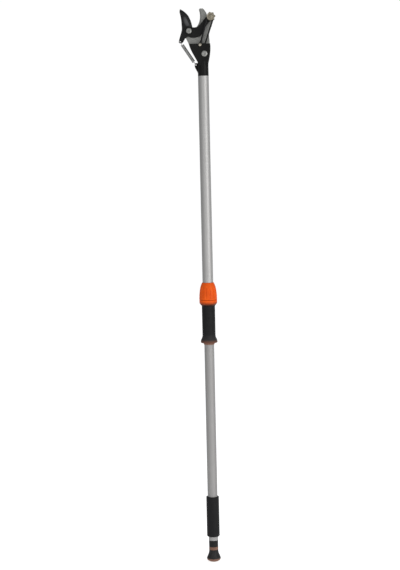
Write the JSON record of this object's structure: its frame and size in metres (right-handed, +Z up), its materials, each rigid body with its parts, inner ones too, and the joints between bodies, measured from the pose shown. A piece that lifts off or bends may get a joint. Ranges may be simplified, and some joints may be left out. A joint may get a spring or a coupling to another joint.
{
  "type": "telescoping pole pruner",
  "caption": "Telescoping pole pruner with a rope-driven bypass cutting head, a sliding pull handle, a twist-lock collar and a pull knob at the foot.",
  "frame": {"origin": "middle of the small flat under the end knob, on the pole axis", "axes": "+Z up the pole to the cutting head, +X to the hook's side of the jaw, -Y to the face that carries the pulley"},
  "size_m": [0.1112, 0.0534, 1.66],
  "materials": {
    "anodised_aluminium": "satin anodised tube, fine drawn lines along it",
    "dull_aluminium": "darker satin anodised tube, rubbed by the slider",
    "black_plastic": "moulded, fine spark texture",
    "orange_plastic": "moulded, semi-gloss",
    "dull_orange_plastic": "moulded, dull brick orange",
    "grip_rubber": "matte moulded rubber",
    "bush_plastic": "smooth acetal",
    "zinc_steel": "zinc plated",
    "hook_steel": "hardened steel plate, ground faces",
    "black_steel": "black coated steel, satin",
    "blade_steel": "low friction black coating, ground bevel",
    "champagne_metal": "cast light alloy, champagne tint",
    "brass": "turned",
    "bronze": "sintered bush",
    "rope": "braided nylon",
    "spring_steel": "close wound wire"
  },
  "bodies": {
    "lower_pole": {"inner_tube": "dull_aluminium", "tube_top_bush": "black_plastic", "lower_grip": "grip_rubber", "end_bush": "bush_plastic"},
    "upper_pole": {"outer_tube": "anodised_aluminium", "lock_body": "orange_plastic", "wiper_ring": "grip_rubber", "collet": "black_plastic", "housing_front": "black_plastic", "housing_rear": "black_plastic", "housing_bolt": "zinc_steel", "housing_nut": "zinc_steel", "housing_screws": "zinc_steel", "tube_screws": "zinc_steel", "roller_spacers": "zinc_steel", "hook_plate": "hook_steel", "pivot_bolt": "zinc_steel", "pivot_washers": "zinc_steel", "pivot_nut": "zinc_steel", "anchor_pin": "brass", "rope_head": "rope"},
    "collar": {"collar_nut": "orange_plastic"},
    "lever": {"lever_arm": "black_steel", "cutting_blade": "blade_steel", "blade_rivets": "black_steel", "pivot_bush": "bronze", "rope_keeper": "champagne_metal", "pulley_axle": "champagne_metal", "axle_nut": "zinc_steel"},
    "pulley": {"pulley_wheel": "champagne_metal"},
    "roller": {"guide_roller": "bush_plastic"},
    "ferrule": {"rope_ferrule": "black_steel"},
    "spring": {"return_spring": "spring_steel"},
    "slider": {"slider_core": "black_plastic", "slider_grip": "grip_rubber", "slider_ring": "dull_orange_plastic", "rope_clamp": "black_plastic", "rope_upper": "rope"},
    "knob": {"knob_stem": "black_plastic", "knob_band": "dull_orange_plastic", "knob_body": "black_plastic", "knob_cap": "dull_orange_plastic", "rope_stop": "brass", "rope_lower": "rope"}
  },
  "joints": [
    {"name": "pole_extension", "type": "slide", "parent": "lower_pole", "child": "upper_pole", "axis": [0, 0, 1], "range_m": [-0.21, 0.28]},
    {"name": "collar_twist", "type": "hinge", "parent": "upper_pole", "child": "collar", "pos_m": [0, 0, 0.8], "axis": [0, 0, 1], "range_deg": [0, 90]},
    {"name": "handle_pull", "type": "slide", "parent": "upper_pole", "child": "slider", "axis": [0, 0, -1], "range_m": [0, 0.103], "stiffness_N_per_m": 350, "springref_m": -0.06},
    {"name": "knob_pull", "type": "slide", "parent": "lower_pole", "child": "knob", "axis": [0, 0, -1], "range_m": [0, 0.103]},
    {"name": "blade_close", "type": "hinge", "parent": "upper_pole", "child": "lever", "pos_m": [-0.0405, 0.004, 1.593], "axis": [0, 1, 0], "range_deg": [0, 50], "deforming": ["rope_head"]},
    {"name": "pulley_spin", "type": "hinge", "parent": "lever", "child": "pulley", "pos_m": [0.0255, -0.006, 1.634], "axis": [0, 1, 0], "range_deg": [0, 280]},
    {"name": "roller_spin", "type": "hinge", "parent": "upper_pole", "child": "roller", "pos_m": [0.0045, -0.006, 1.523], "axis": [0, -1, 0], "range_deg": [0, 830]},
    {"name": "ferrule_swing", "type": "hinge", "parent": "upper_pole", "child": "ferrule", "pos_m": [-0.008, -0.006, 1.5495], "axis": [0, 1, 0], "range_deg": [0, 38]},
    {"name": "spring_stretch", "type": "slide", "parent": "upper_pole", "child": "spring", "axis": [-0.4285, 0, 0.9036], "range_m": [0, 0.036], "deforming": ["return_spring"]}
  ],
  "couplings": [
    {"joint": "knob_pull", "follows": "handle_pull", "ratio": 1},
    {"joint": "blade_close", "follows": "handle_pull", "rad_per_m": 8.458},
    {"joint": "pulley_spin", "follows": "handle_pull", "rad_per_m": 46.09},
    {"joint": "roller_spin", "follows": "handle_pull", "rad_per_m": 138.89},
    {"joint": "ferrule_swing", "follows": "handle_pull", "rad_per_m": 6.347},
    {"joint": "spring_stretch", "follows": "handle_pull", "ratio": 0.3404}
  ]
}
